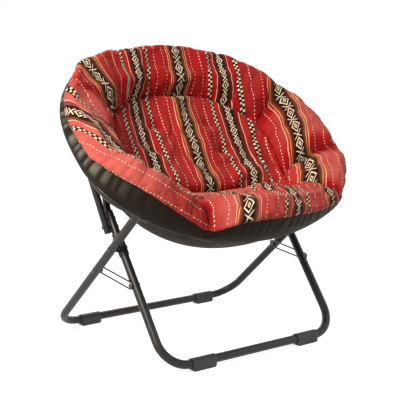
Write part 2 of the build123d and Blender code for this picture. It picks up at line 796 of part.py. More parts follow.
with BuildPart() as bowl_inside:
    loft(
        sections=[
            oval(-flange_top - 1, mouth_width, 0.849, 0.899),
            oval(8, 0.89 * mouth_width, 0.745, 0.842),
            oval(30, 0.915 * bowl_width, 0.632, 0.784, corner=150),
            oval(58, 0.76 * bowl_width, 0.533, 0.692, corner=115),
            oval(pad_depth - 38, 0.543 * bowl_width, 0.325, 0.303, corner=70),
        ]
    )

flange_inset = roll_width / 2 + roll_inset + roll_ease


def cushion_half(side, corner, depth, front):
    """One half of the cushion: a flange inside the roll and half of the bowl."""
    edge = hoop_line(side, corner, depth, front, crease_gap, flange_inset, Plane.XY)
    with BuildPart() as half:
        with BuildSketch(hoop_plane) as flange:
            with BuildLine():
                add(edge)
                Line(edge @ 1, edge @ 0)
            make_face()
        extrude(flange.sketch, amount=flange_top)
        extrude(flange.sketch, amount=-flange_bottom)
        add(bowl_outside(flange_bottom - seat_gap, pad_depth, 0))
        split(bisect_by=Plane(hoop_point(0, 0), z_dir=hoop_v), keep=Keep.BOTTOM if front else Keep.TOP)
        add(bowl_inside.part, mode=Mode.SUBTRACT)
        add(fold_notch.part, mode=Mode.SUBTRACT)
    return half.part


with BuildPart() as back_cushion:
    add(cushion_half(rear_hoop_side, rear_hoop_corner, rear_hoop_depth, False))
    add(frame_room.part, mode=Mode.SUBTRACT)
back_cushion.part.label = "back_cushion"

with BuildPart() as seat_cushion:
    add(cushion_half(front_hoop_side, front_hoop_corner, front_hoop_depth, True))
    add(saddle_slit.part, mode=Mode.SUBTRACT)
seat_cushion.part.label = "seat_cushion"

with BuildPart() as cover_bowl:
    add(bowl_outside(flange_bottom + seat_gap, cover_depth, cover_thickness + cover_ease))
    add(bowl_outside(flange_bottom - seat_gap, pad_depth + cover_ease, cover_ease), mode=Mode.SUBTRACT)

with BuildPart() as rear_cover:
    add(cover_bowl.part)
    split(bisect_by=Plane(hoop_point(0, crease_gap), z_dir=hoop_v), keep=Keep.TOP)
    add(frame_room.part, mode=Mode.SUBTRACT)
rear_cover.part.label = "rear_cover"

with BuildPart() as front_cover:
    add(cover_bowl.part)
    split(bisect_by=Plane(hoop_point(0, -crease_gap), z_dir=hoop_v), keep=Keep.BOTTOM)
front_cover.part.label = "front_cover"

pieces = [
    front_leg_frame,
    rear_leg_frame,
    front_feet,
    rear_feet,
    scissor_sleeves,
    scissor_spacers,
    scissor_rivets,
    rear_hoop,
    front_hoop,
    back_posts,
    post_rivets,
    seat_support_bar,
    side_stays,
    stay_end_caps,
    stay_washers,
    stay_rivets,
    rear_hinge_clevises,
    front_hinge_tongues,
    hinge_washers,
    hinge_rivets,
    hoop_saddles,
    saddle_rivets,
    limiter_loops,
    limiter_bushes,
    limiter_rear_pins,
    limiter_front_pins,
    rear_rim_roll,
    front_rim_roll,
    back_cushion,
    seat_cushion,
    rear_cover,
    front_cover,
]
for piece in pieces:
    export_step(piece.part, f"parts/{piece.part.label}.step")
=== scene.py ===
"""Folding saucer chair: its tubes, fittings, cover and striped cushion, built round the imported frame."""
import math

import bpy
import numpy as np
from mathutils import Matrix, Vector


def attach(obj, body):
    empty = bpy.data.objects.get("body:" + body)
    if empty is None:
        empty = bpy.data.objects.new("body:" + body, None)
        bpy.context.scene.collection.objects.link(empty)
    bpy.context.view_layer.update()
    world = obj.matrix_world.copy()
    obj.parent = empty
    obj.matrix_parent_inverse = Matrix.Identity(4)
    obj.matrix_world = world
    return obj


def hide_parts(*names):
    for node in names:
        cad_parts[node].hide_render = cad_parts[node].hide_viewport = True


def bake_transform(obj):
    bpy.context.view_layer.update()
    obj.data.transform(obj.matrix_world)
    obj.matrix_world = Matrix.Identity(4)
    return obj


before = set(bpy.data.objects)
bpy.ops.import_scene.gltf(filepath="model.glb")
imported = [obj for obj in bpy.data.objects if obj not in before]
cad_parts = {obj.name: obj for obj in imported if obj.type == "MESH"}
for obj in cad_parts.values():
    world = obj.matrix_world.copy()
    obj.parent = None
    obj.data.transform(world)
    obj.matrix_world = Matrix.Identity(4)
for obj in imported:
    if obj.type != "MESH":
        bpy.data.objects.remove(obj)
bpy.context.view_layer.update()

# ---------------------------------------------------------------- studio: camera, soft lamps, pale floor
# A camera low at the chair's left front, a large soft lamp on that side, a weaker one at the right, and
# a white floor that keeps a faint shadow.
def put_in_scene(name, data):
    """A new object in the scene for a mesh, curve, lamp or camera."""
    new = bpy.data.objects.new(name, data)
    bpy.context.scene.collection.objects.link(new)
    return new


camera_place = (-1.3225, -1.7510, 0.6734)
turn, drop, lean = (math.radians(a) for a in (-36.79, 8.58, -0.22))
back = Vector((math.sin(turn) * math.cos(drop), -math.cos(turn) * math.cos(drop), math.sin(drop)))
right = Vector((math.cos(turn), math.sin(turn), 0))
up = back.cross(right)
across, upward = right * math.cos(lean) - up * math.sin(lean), right * math.sin(lean) + up * math.cos(lean)
camera_data = bpy.data.cameras.new("studio_camera")
camera_data.lens, camera_data.sensor_width, camera_data.clip_start = 81.0, 36.0, 0.05
camera = put_in_scene("studio_camera", camera_data)
camera_rows = [(across[i], upward[i], back[i], camera_place[i]) for i in range(3)]
camera.matrix_world = Matrix(camera_rows + [(0, 0, 0, 1)])
bpy.context.scene.camera = camera
bpy.context.scene.view_settings.view_transform = "Standard"


def linear(colour):
    """An sRGB hex colour as linear red, green, blue and 1."""
    parts = [int(colour[i:i + 2], 16) / 255 for i in (1, 3, 5)]
    return tuple(c / 12.92 if c <= 0.04045 else ((c + 0.055) / 1.055) ** 2.4 for c in parts) + (1.0,)


def add(tree, kind, inputs=(), output=0, **settings):
    """Adds a node to tree with its settings, sets or links its inputs, and returns one of its outputs."""
    node = tree.nodes.new(kind)
    for name, value in settings.items():
        setattr(node, name, value)
    pairs = inputs.items() if isinstance(inputs, dict) else enumerate(inputs)
    for name, value in pairs:
        if isinstance(value, bpy.types.NodeSocket):
            tree.links.new(value, node.inputs[name])
        elif value is not None:
            node.inputs[name].default_value = value
    return node.outputs[output] if node.outputs else node


def material(name):
    """An empty node material."""
    new = bpy.data.materials.new(name)
    new.use_nodes = True
    new.node_tree.nodes.clear()
    return new


def lamp(name, place, aim, size, watts, colour):
    """A square soft lamp at place, facing aim."""
    data = bpy.data.lights.new(name, "AREA")
    data.size, data.energy, data.color = size, watts, linear(colour)[:3]
    new = put_in_scene(name, data)
    new.location = place
    new.rotation_euler = (Vector(aim) - Vector(place)).to_track_quat("-Z", "Y").to_euler()


def seen_directly(tree):
    """1 for the rays by which the camera, gloss or glass sees a thing, 0 for those that light the chair."""
    path = add(tree, "ShaderNodeLightPath").node
    straight = add(tree, "ShaderNodeMath", (path.outputs["Is Camera Ray"], path.outputs["Is Glossy Ray"]),
                   operation="MAXIMUM")
    return add(tree, "ShaderNodeMath", (straight, path.outputs["Is Transmission Ray"]), operation="MAXIMUM")


lamp("key_lamp", (-2.1, -0.55, 2.0), (0, 0, 0.42), 0.9, 96, "#FFF8EE")
lamp("fill_lamp", (1.7, -1.6, 1.2), (0, 0, 0.35), 1.6, 9, "#FFFFFF")
lamp("back_lamp", (0.9, 1.9, 1.9), (0, 0.1, 0.5), 1.2, 22, "#FFFFFF")

world = bpy.data.worlds.new("studio_air")
world.use_nodes = True
air = world.node_tree
air.nodes.clear()
seen = seen_directly(air)
soft_air = add(air, "ShaderNodeBackground", (linear("#FFFFFF"), 0.21))
white_air = add(air, "ShaderNodeBackground", (linear("#FFFFFF"), 1.0))
add(air, "ShaderNodeOutputWorld", (add(air, "ShaderNodeMixShader", (seen, soft_air, white_air)),))
bpy.context.scene.world = world

floor_reach = 40  # metres each way, so that its edge never shows
floor_mesh = bpy.data.meshes.new("studio_floor")
corners = [(x * floor_reach, y * floor_reach, 0) for x, y in ((-1, -1), (1, -1), (1, 1), (-1, 1))]
floor_mesh.from_pydata(corners, [], [(0, 1, 2, 3)])
floor = put_in_scene("studio_floor", floor_mesh)
paper = material("white_paper_sweep")
tree = paper.node_tree
matt = add(tree, "ShaderNodeBsdfDiffuse", (linear("#C4C4C4"),))
spot = add(tree, "ShaderNodeTexCoord", output="Object")
# The paper is a little grey under the chair, so that the shadow shows, and white further out.
away = add(tree, "ShaderNodeVectorMath", (spot,), "Value", operation="LENGTH")
spread = add(tree, "ShaderNodeMapRange", (away, 0.7, 2.2, 0.80, 1.0), interpolation_type="SMOOTHSTEP")
glow = add(tree, "ShaderNodeEmission", (linear("#FFFFFF"), spread))
none = add(tree, "ShaderNodeEmission", (linear("#FFFFFF"), 0.0))
lit = add(tree, "ShaderNodeMixShader", (seen_directly(tree), none, glow))
add(tree, "ShaderNodeOutputMaterial", (add(tree, "ShaderNodeAddShader", (matt, lit)),))
floor_mesh.materials.append(paper)

# ----------------------------------------------------------- leg frames, posts, stays, bar and seat hoop
# Bent steel tube, powder coated satin black after bending. The coat has a fine orange peel, a soft broad
# highlight, and patches a little browner and duller than the rest.
tubes = (
    "front_leg_frame", "rear_leg_frame", "back_posts", "seat_support_bar", "side_stays", "rear_hoop",
    "front_hoop",
)
powder = material("powder_coated_steel_satin_black")
tree = powder.node_tree
here = add(tree, "ShaderNodeTexCoord", output="Object")
peel = add(tree, "ShaderNodeTexNoise", {"Vector": here, "Scale": 1 / 0.0022, "Detail": 2.0})
haze = add(tree, "ShaderNodeTexNoise", {"Vector": here, "Scale": 1 / 0.07, "Detail": 5.0, "Roughness": 0.65})
tone = add(tree, "ShaderNodeMix", {0: haze, 6: linear("#151312"), 7: linear("#26211E")}, 2, data_type="RGBA")
rough = add(tree, "ShaderNodeMapRange", (haze, 0.3, 0.7, 0.34, 0.46))
dents = add(tree, "ShaderNodeBump", {"Strength": 0.25, "Distance": 0.00012, "Height": peel})
coat = add(tree, "ShaderNodeBsdfPrincipled", {
    "Base Color": tone, "Roughness": rough, "IOR": 1.5, "Specular IOR Level": 0.35, "Normal": dents,
})
add(tree, "ShaderNodeOutputMaterial", (coat,))


def finish_nodes(names, look):
    """Gives the shown CAD nodes one finish."""
    for name in names:
        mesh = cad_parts[name].data
        mesh.materials.clear()
        mesh.materials.append(look)


finish_nodes(tubes, powder)

# -------------------------------------------------- feet, sleeves, spacers, end caps, saddles and bushes
# Injection moulded black nylon pushed or riveted onto the tubes. It is duller than the coat, with a
# faint spark-eroded grain.
mouldings = (
    "front_feet", "rear_feet", "scissor_sleeves", "scissor_spacers", "stay_end_caps", "hoop_saddles",
    "limiter_bushes", "hinge_washers",
)
nylon = material("moulded_nylon_black")
tree = nylon.node_tree
here = add(tree, "ShaderNodeTexCoord", output="Object")
grain = add(tree, "ShaderNodeTexNoise", {"Vector": here, "Scale": 1 / 0.0012, "Detail": 3.0})
scuff = add(tree, "ShaderNodeTexNoise", {"Vector": here, "Scale": 1 / 0.018, "Detail": 6.0, "Roughness": 0.7})
tone = add(tree, "ShaderNodeMix", {0: scuff, 6: linear("#0F0F0F"), 7: linear("#1E1D1C")}, 2, data_type="RGBA")
rough = add(tree, "ShaderNodeMapRange", (scuff, 0.35, 0.7, 0.46, 0.62))
dents = add(tree, "ShaderNodeBump", {"Strength": 0.5, "Distance": 0.0001, "Height": grain})
skin = add(tree, "ShaderNodeBsdfPrincipled", {
    "Base Color": tone, "Roughness": rough, "IOR": 1.53, "Normal": dents,
})
add(tree, "ShaderNodeOutputMaterial", (skin,))
finish_nodes(mouldings, nylon)

# ------------------------------------------------ rivets, washers, hinge fittings, limiter loops and pins
# Steel, stamped or headed and plated dark. It is a metal with a fine brushed haze and small colour shifts.
fittings = (
    "scissor_rivets", "post_rivets", "stay_washers", "stay_rivets", "rear_hinge_clevises",
    "front_hinge_tongues", "hinge_rivets", "saddle_rivets", "limiter_rear_pins", "limiter_front_pins",
    "limiter_loops",
)
plated = material("plated_steel_dark")
tree = plated.node_tree
here = add(tree, "ShaderNodeTexCoord", output="Object")
streak = add(tree, "ShaderNodeTexNoise", {"Vector": here, "Scale": 1 / 0.006, "Detail": 5.0})
tone = add(tree, "ShaderNodeMix", {0: streak, 6: linear("#3A3836"), 7: linear("#63605B")}, 2,
           data_type="RGBA")
rough = add(tree, "ShaderNodeMapRange", (streak, 0.3, 0.7, 0.28, 0.42))
metal = add(tree, "ShaderNodeBsdfPrincipled", {"Base Color": tone, "Metallic": 1.0, "Roughness": rough})
add(tree, "ShaderNodeOutputMaterial", (metal,))
finish_nodes(fittings, plated)

# --------------------------------------------------------------------- the hoop's plan and the seat's form
# Everything sewn hangs on the hoop, so it is laid out in the hoop's plane: x to the side, v up the slope
# and n square to it. Each loop round the seat has the same number of points in its back and front half.
hoop_side, hoop_back, hoop_front = 0.360, 0.347, 0.2215
hinge_place = np.array([0.0, -0.0635, 0.447])
slope = math.radians(43.9)
half_loop = 168  # points in each half of a loop
loop_size = 2 * half_loop
back_squareness, front_squareness = 2.33, 1.92  # 2 is a plain ellipse


def place(x, v, n):
    """World places of points in the hoop's plane."""
    x, v, n = np.broadcast_arrays(np.asarray(x, float), v, n)
    return hinge_place + np.stack([
        x,
        math.cos(slope) * v - math.sin(slope) * n,
        math.sin(slope) * v + math.cos(slope) * n,
    ], -1)


def part_plan(start, stop):
    """Evenly spaced points of one part of the hoop, and their angles from its right side."""
    q = np.linspace(math.radians(start), math.radians(stop), 4001)
    c, s = np.cos(q), np.sin(q)
    depth = np.where(s >= 0, hoop_back, hoop_front)
    power = np.where(s >= 0, back_squareness, front_squareness)
    x = hoop_side * np.sign(c) * np.abs(c) ** (2 / power)
    v = depth * np.sign(s) * np.abs(s) ** (2 / power)
    run = np.concatenate([[0], np.cumsum(np.hypot(np.diff(x), np.diff(v)))])
    even = np.linspace(0, run[-1], half_loop + 1)[:-1]
    return np.interp(even, run, x), np.interp(even, run, v), np.degrees(np.interp(even, run, q)) % 360


# The fold between back and seat runs from the left side to the right front corner, so the loops divide there.
# The cushion is sewn to the hoop a little turned, so its two front corners aren't opposite each other.
left_corner, right_corner = 243, 323
rear_part, front_part = part_plan(right_corner - 360, 180), part_plan(180, right_corner)
plan_x, plan_v, angle = (np.concatenate(pair) for pair in zip(rear_part, front_part))
run_x, run_v = np.roll(plan_x, -1) - np.roll(plan_x, 1), np.roll(plan_v, -1) - np.roll(plan_v, 1)
run_length = np.hypot(run_x, run_v)
out_x, out_v = run_v / run_length, -run_x / run_length
step_mm = run_length / 2 * 1000  # from each point of the loop to the next


def round_rim(*values, softness=1):
    """A value for each point of a loop, from pairs of (degrees round from the right side, value)."""
    found = np.interp(angle, [a for a, _ in values], [b for _, b in values], period=360)
    for _ in range(softness):
        found = (np.roll(found, 1) + 2 * found + np.roll(found, -1)) / 4
    return found


# Where the striped top is sewn to the band, the crest of the rim, and the seam round the inner pad: how
# far each lies outward from the hoop tube and above its plane, in millimetres.
red_out = round_rim(
    (0, 11), (30, 8), (60, 8), (90, 8), (118, 13), (135, 23), (150, 24), (168, 15), (184, 10), (200, 8),
    (224, 8), (236, 11), (243, 18), (248, 13), (255, 8), (280, 8), (296, 11), (312, 15), (323, 21), (332, 15),
    (345, 12),
)
red_up = round_rim(
    (0, 20), (60, 20), (90, 20), (118, 24), (135, 20), (150, 14), (160, 14), (168, 26), (176, 38), (184, 50),
    (192, 62), (200, 70), (208, 74), (216, 73), (224, 62), (232, 48), (239, 33), (243, 24), (247.5, 35),
    (251, 50), (257, 63), (264, 71), (272, 73), (280, 70), (288, 63), (296, 53), (304, 39), (312, 22),
    (323, 2), (332, 8), (345, 16),
)
crest_out = round_rim(
    (0, -13), (30, -10), (60, -8), (90, -6), (118, -1), (132, 9), (148, 10), (156, 2), (167, -15),
    (180, -29), (234, -31), (243, -8), (249, -20), (255, -28), (280, -31), (296, -27), (304, -22),
    (312, -16), (323, -2), (332, -10), (345, -14),
)
crest_up = round_rim(
    (0, 38), (30, 34), (50, 33), (90, 34), (112, 37), (132, 50), (146, 54), (152, 51), (165, 47), (180, 58),
    (188, 73), (196, 85), (204, 91), (212, 90), (220, 83), (228, 70), (237, 50), (243, 33), (248.5, 49),
    (253, 68), (259, 82), (265, 88), (272, 88), (280, 81), (288, 71), (296, 62), (304, 53), (312, 38),
    (323, 12), (332, 24), (345, 34),
)
seam_out = round_rim(
    (0, -110), (12, -95), (22, -90), (120, -91), (130, -93), (140, -103), (150, -105), (160, -101),
    (180, -98), (270, -100), (310, -98), (323, -88), (332, -100), (348, -110), softness=2,
)
seam_up = round_rim(
    (0, -96), (10, -86), (20, -74), (40, -67), (60, -61), (75, -53), (90, -52), (110, -47), (130, -50),
    (140, -46), (150, -34), (160, -21), (170, -14), (180, -14), (220, -22), (285, -24), (300, -32),
    (310, -48), (323, -74), (334, -92), (350, -100), softness=2,
)

# Seams and lesser creases across the rim: degrees round at the crest, how many more at the inner seam,
# depth in millimetres, and the degrees over which each fades.
rim_seams = (
    (36, -4, 24, 6), (144, -4, 15, 6), (359, 2, 25, 6), (189, 2, 9, 3), (209, 2, 9, 3),
    (left_corner, 0, 20, 4), (right_corner, 0, 24, 5), (104, -6, 11, 5), (76, -2, 8, 6), (57, -2, 6, 6),
    (18, 0, 6, 6), (124, -3, 6, 6), (164, -3, 7, 6), (226, 0, 5, 6), (262, 0, 5, 5), (280, 0, 6, 5),
    (300, 0, 6, 5), (341, 0, 6, 6),
)
puff = 4.5  # how far the wadding stands out between the seams, in millimetres


def degrees_off(seam, sheer, share_inward):
    """How far each point of a loop lies from a rim seam, at one share of the way from crest to pad."""
    return np.abs((angle - seam - sheer * share_inward + 180) % 360 - 180)


def draw_in(share_inward):
    """How far the seams pull the rim in, in millimetres, at one share of the way from crest to pad."""
    pull = np.zeros(loop_size)
    for seam, sheer, depth, spread in rim_seams:
        pull = np.maximum(pull, depth * np.exp(-degrees_off(seam, sheer, share_inward) / spread))
    return pull - puff


# ------------------------------------------------------------------------------------ striped cushion top
# Wadding between a striped woven cotton top and a plain back, quilted by seams across the rim, a seam
# round the inner pad, the fold between seat and back, and tufts. It is sewn to the cover at the red edge.
rim_steps, slope_steps, pad_steps = 9, 18, 32
pad_start = rim_steps + slope_steps
edge_swell = 3  # millimetres that the outer face stands out between the red edge and the crest
section_out, section_up, pulls = [], [], []
for step in range(rim_steps):  # from the red edge up and over to the crest
    t = step / rim_steps
    section_out.append(
        red_out + (crest_out - red_out) * (1 - math.cos(math.pi / 2 * t)) + edge_swell * math.sin(math.pi * t)
    )
    section_up.append(red_up + (crest_up - red_up) * math.sin(math.pi / 2 * t))
    pulls.append(draw_in(0) * (0.15 + 0.55 * t))
full, plain = 0.66, 0.34  # the slope is part a quarter round and part a straight fall
for step in range(slope_steps + 1):  # from the crest down into the seam round the pad
    t = step / slope_steps
    section_out.append(crest_out + (seam_out - crest_out) * (full * math.sin(math.pi / 2 * t) + plain * t))
    section_up.append(crest_up + (seam_up - crest_up) * (full * (1 - math.cos(math.pi / 2 * t)) + plain * t))
    pulls.append(draw_in(t) * min(1, 0.7 + 1.2 * t) * (1 - t ** 4))
section_out, section_up, pulls = np.array(section_out), np.array(section_up), np.array(pulls)
lean_out, lean_up = np.gradient(section_out, axis=0), np.gradient(section_up, axis=0)
lean_length = np.hypot(lean_out, lean_up) + 1e-9
face_out, face_up = lean_up / lean_length, -lean_out / lean_length
# Short gathers run square to both sewn lines and fade away from them.
count = np.arange(loop_size)
rng = np.random.default_rng(7)
gathers = np.zeros(loop_size)
for wave in range(34, 92, 4):
    gathers += np.sin(count / loop_size * 2 * math.pi * wave + rng.uniform(0, 2 * math.pi)) / 6
from_edge = np.arange(len(section_out)) / rim_steps
from_seam = (len(section_out) - 1 - np.arange(len(section_out))) / slope_steps
gather_depth = 1.6 * np.exp(-from_edge / 0.5) * np.minimum(1, from_edge * 4)
gather_depth = gather_depth + 2.2 * np.exp(-from_seam / 0.2) * np.minimum(1, from_seam * 9)
pulls = pulls + gathers[None, :] * gather_depth[:, None]
section_out, section_up = section_out - face_out * pulls, section_up - face_up * pulls
ring_places = [
    (plan_x + out_x * o / 1000, plan_v + out_v * o / 1000, h / 1000)
    for o, h in zip(section_out[:-1], section_up[:-1])
]

# The inner pad: the back's half and the seat's half fall from the seam to the fold where they meet.
crease_reach = 0.215
seam_x, seam_v = plan_x + out_x * seam_out / 1000, plan_v + out_v * seam_out / 1000
share = np.concatenate([np.arange(half_loop) / half_loop, 1 - np.arange(half_loop) / half_loop])
crease_x = crease_reach * np.cos(math.pi * share)
crease_v = -0.019 - 0.020 * np.clip((crease_x - 0.10) / 0.115, 0, 1) ** 1.5
crease_n = -0.103 - 0.010 * crease_x / crease_reach
at_back = (count < half_loop).astype(float)
for _ in range(14):
    at_back = (np.roll(at_back, 1) + 2 * at_back + np.roll(at_back, -1)) / 4
for step in range(pad_steps + 1):
    t = step / pad_steps
    x = seam_x + (crease_x - seam_x) * t
    v = seam_v + (crease_v - seam_v) * t
    fall = at_back * t ** 0.75 + (1 - at_back) * t ** 2.5
    n = seam_up / 1000 + (crease_n - seam_up / 1000) * fall
    edge_puff = (1 - math.exp(-t / 0.035)) * (1 - math.exp(-(1 - t) / 0.06))
    crown_back = 0.010 * math.sin(math.pi * t) ** 0.7 + 0.025 * edge_puff
    crown_front = 0.003 * math.sin(math.pi * t) + 0.007 * edge_puff
    gathered = gathers * 0.0016 * math.exp(-t / 0.07) * min(1, 8 * t)
    ring_places.append((x, v, n + at_back * crown_back + (1 - at_back) * crown_front - gathered))

# Tufts pull the pad down at these places: x, v, radius and depth in metres.
tufts = (
    (-0.078, 0.172, 0.036, 0.034), (0.078, 0.172, 0.034, 0.024), (0.105, 0.098, 0.040, 0.038),
    (-0.115, 0.104, 0.038, 0.032), (0.205, 0.060, 0.036, 0.028), (-0.218, 0.060, 0.036, 0.020),
    (0.0, 0.062, 0.040, 0.028), (-0.09, -0.10, 0.035, 0.010), (0.09, -0.10, 0.035, 0.010),
)
rows = len(ring_places)
sheet_x, sheet_v, sheet_n = (np.array([ring[part] for ring in ring_places]) for part in range(3))
for x0, v0, reach, depth in tufts:
    away = np.hypot(sheet_x[pad_start:] - x0, (sheet_v[pad_start:] - v0) * 0.9)
    sheet_n[pad_start:] -= depth * np.exp(-away / reach) * np.minimum(1, away / 0.004 + 0.6)

# The fabric's own measure, in millimetres: how far across the stripes and along them each point lies.
steepest = 1.6
x_step, v_step, n_step = (np.diff(part, axis=0) for part in (sheet_x, sheet_v, sheet_n))
flat_step = np.hypot(x_step, v_step) + 1e-9
stretch = np.sqrt(1 + (np.minimum(np.abs(n_step) / flat_step, steepest)) ** 2)
fabric_x, fabric_v = sheet_x.copy(), sheet_v.copy()
for j in range(pad_start, rows - 1):
    fabric_x[j + 1] = fabric_x[j] + x_step[j] * (1 + (stretch[j] - 1) * 0.4)
    fabric_v[j + 1] = fabric_v[j] + v_step[j] * stretch[j]
for j in range(pad_start - 1, -1, -1):
    fabric_x[j] = fabric_x[j + 1] - x_step[j] * stretch[j]
    fabric_v[j] = fabric_v[j + 1] - v_step[j] * stretch[j]
# The wide black band's middle, in millimetres right of the chair's middle, lower down and at the top.
wide_band_low, wide_band_top = 12.0, 26.0
across_mm = fabric_x * 1000 - np.interp(fabric_v, (0.0, 0.35), (wide_band_low, wide_band_top))
along_mm = fabric_v * 1000
# The outer stripes lie further apart at the right, and draw together towards the right front corner.
far_right = np.clip((sheet_x - 0.17) / 0.12, 0, 1)
across_mm -= 32 * far_right
across_mm += 0.45 * np.maximum(0, -sheet_v * 1000) * np.clip((sheet_x - 0.12) / 0.10, 0, 1)
# On the seat the stripes slant towards the left front corner.
in_front = (angle > 180) & (angle < right_corner)
seat_across = sheet_x * 1000 - (16 + 0.5 * (sheet_v * 1000 + 19))
across_mm = np.where(in_front[None, :], seat_across, across_mm)
# At the left and left front the rim's fabric is laid slanting and gathered, so its stripes turn inward.
rim_degrees, rim_across = (0, 40, 62, 85, 104, 131, 154, 170), (300, 282, 140, 0, -140, -280, -416, -470)
twist = np.interp(angle, (90, 110, 135, 155, 185), (0, 3, 6, 16, 16))
arc_step = np.sqrt(x_step ** 2 + v_step ** 2 + n_step ** 2) * 1000
arc = np.vstack([np.zeros(loop_size), np.cumsum(arc_step, axis=0)])
# From the left round to the corner the stripes turn until they run along the rim. The second narrow
# band comes over the red edge at 157 degrees.
turned = np.radians(np.interp(angle, (140, 157, 166, 176, 186, 192), (36, 42, 45, 62, 80, 88)))
narrow_band, narrow_band_along = -420, 150
first = np.argmin(np.abs(angle - 157))
at_edge = -np.cumsum(step_mm * np.cos(turned))
at_edge += narrow_band - at_edge[first]
along_edge = -np.cumsum(step_mm * np.sin(turned))
slanting = np.clip((angle - 112) / 14, 0, 1) * (angle < left_corner)
gone_over = np.clip((angle - 147) / 8, 0, 1) * (angle < left_corner)
for j in range(pad_start + 1):
    found = np.interp(angle - twist * arc[j] / arc[pad_start], rim_degrees, rim_across)
    found = found * (1 - gone_over) + (at_edge + arc[j] * np.sin(turned)) * gone_over
    outward_mm = np.hypot(sheet_x[j] - seam_x, sheet_v[j] - seam_v) * 1300
    rolled = along_edge - along_edge[first] + narrow_band_along - arc[j] * np.cos(turned)
    found_along = outward_mm * (1 - gone_over) + rolled * gone_over
    across_mm[j] = across_mm[j] * (1 - slanting) + found * slanting
    along_mm[j] = along_mm[j] * (1 - slanting) + found_along * slanting
places = place(sheet_x, sheet_v, sheet_n)


def cushion_mesh():
    """The cushion's top in quads from the red edge in to the fold, and which point each place became."""
    index = np.arange(rows * loop_size).reshape(rows, loop_size)
    last = index[-1].copy()
    for k in range(1, half_loop):
        last[loop_size - k] = last[k]
    index[-1] = last
    used = np.unique(index)
    renumber = -np.ones(rows * loop_size, int)
    renumber[used] = np.arange(len(used))
    quads, fabric = [], []
    for j in range(rows - 1):
        for i in range(loop_size):
            k = (i + 1) % loop_size
            corners = [(j, i), (j + 1, i), (j + 1, k), (j, k)]
            quad = [int(renumber[index[corner]]) for corner in corners]
            if len(set(quad)) < 4:
                continue
            quads.append(quad)
            for a, b in corners:
                u, w = across_mm[a, b], along_mm[a, b]
                if b == k and abs(u - across_mm[j, i]) > 40:  # across a seam the last piece's fabric runs on
                    u, w = across_mm[a, i], along_mm[a, i]
                fabric.append((u, w))
    mesh = bpy.data.meshes.new("striped_cushion")
    mesh.from_pydata([tuple(p) for p in places.reshape(-1, 3)[used]], [], quads)
    layer = mesh.uv_layers.new(name="fabric_cm")
    layer.data.foreach_set("uv", (np.array(fabric, np.float32).reshape(-1) / 10.0))
    return mesh, used, renumber[index]


mesh, used, number_of = cushion_mesh()
# Painted light and shade in the cloth's colour. A painted highlight makes the rim's lit outer faces and
# crests paler than the seams and the inner pad. Below 0 it is painted shade, darker in the seams, where the
# top is sewn down and round the tufts.
painted_highlight_round = round_rim(
    (0, 0.9), (34, 0.8), (42, 0.25), (60, 0.05), (118, 0.05), (132, 0.3), (146, 0.8), (160, 1.0), (212, 1.0),
    (226, 0.35), (243, 0.2), (249, 0.9), (262, 0.5), (300, 0.5), (318, 0.3), (328, 0.9), (345, 1.0),
)
# The seat's top gets more painted highlight than the back's pad.
painted_highlight_seat, painted_highlight_back = 0.75, 0.10
painted_light_and_shade = np.tile(np.where(in_front, painted_highlight_seat, painted_highlight_back), (rows, 1))
for j in range(pad_start):
    inward = max(0.0, (j - rim_steps) / slope_steps)
    painted_light_and_shade[j] = painted_highlight_round * (1 - inward ** 1.5)
    # Less painted highlight where a seam pulls the rim in, and painted shade in the deepest seams.
    painted_light_and_shade[j] *= np.clip(1 - (pulls[j] + puff) / 14, 0.15, 1)
    painted_light_and_shade[j] -= 0.9 * np.clip((pulls[j] + puff - 7) / 12, 0, 1)
# Painted shade along the seam round the pad and along the fold.
sewn_rows = (
    (pad_start - 1, -0.5), (pad_start, -0.95), (pad_start + 1, -0.45), (rows - 2, -0.4), (rows - 1, -0.95),
)
for row, painted_shade_depth in sewn_rows:
    painted_light_and_shade[row] = np.minimum(painted_light_and_shade[row], painted_shade_depth)
# Painted shade round each tuft.
for x0, v0, reach, depth in tufts:
    away = np.hypot(sheet_x - x0, sheet_v - v0)
    painted_light_and_shade[pad_start:] -= (depth / 0.034 * 0.7 * np.exp(-(away / 0.013) ** 2))[pad_start:]
painted_light_and_shade = np.clip(painted_light_and_shade, -1, 1)
layer = mesh.attributes.new("painted_light_and_shade", "FLOAT", "POINT")
layer.data.foreach_set("value", painted_light_and_shade.reshape(-1)[used].astype(np.float32))
cushion = put_in_scene("striped_cushion", mesh)
mesh.shade_smooth()

# Sewn points are held while the wadding swells the rest: edge, rim seams, inner seam, fold and tufts.
held = cushion.vertex_groups.new(name="sewn")
strength = np.zeros((rows, loop_size))
strength[0], strength[pad_start], strength[-1] = 1, 1, 1
strength[1] = 0.6
for seam, sheer, depth, spread in rim_seams:
    for j in range(pad_start):
        inward = max(0.0, (j - rim_steps) / slope_steps)
        strength[j, np.argmin(degrees_off(seam, sheer, inward))] = min(1.0, depth / 12)
tuft_hold = 0.008  # metres round each tuft's middle
for x0, v0, reach, depth in tufts:
    away = np.hypot(sheet_x - x0, sheet_v - v0)
    strength = np.maximum(strength, (away < tuft_hold) * 1.0)
for j, i in np.argwhere(strength > 0):
    held.add([int(number_of[j, i])], float(strength[j, i]), "REPLACE")


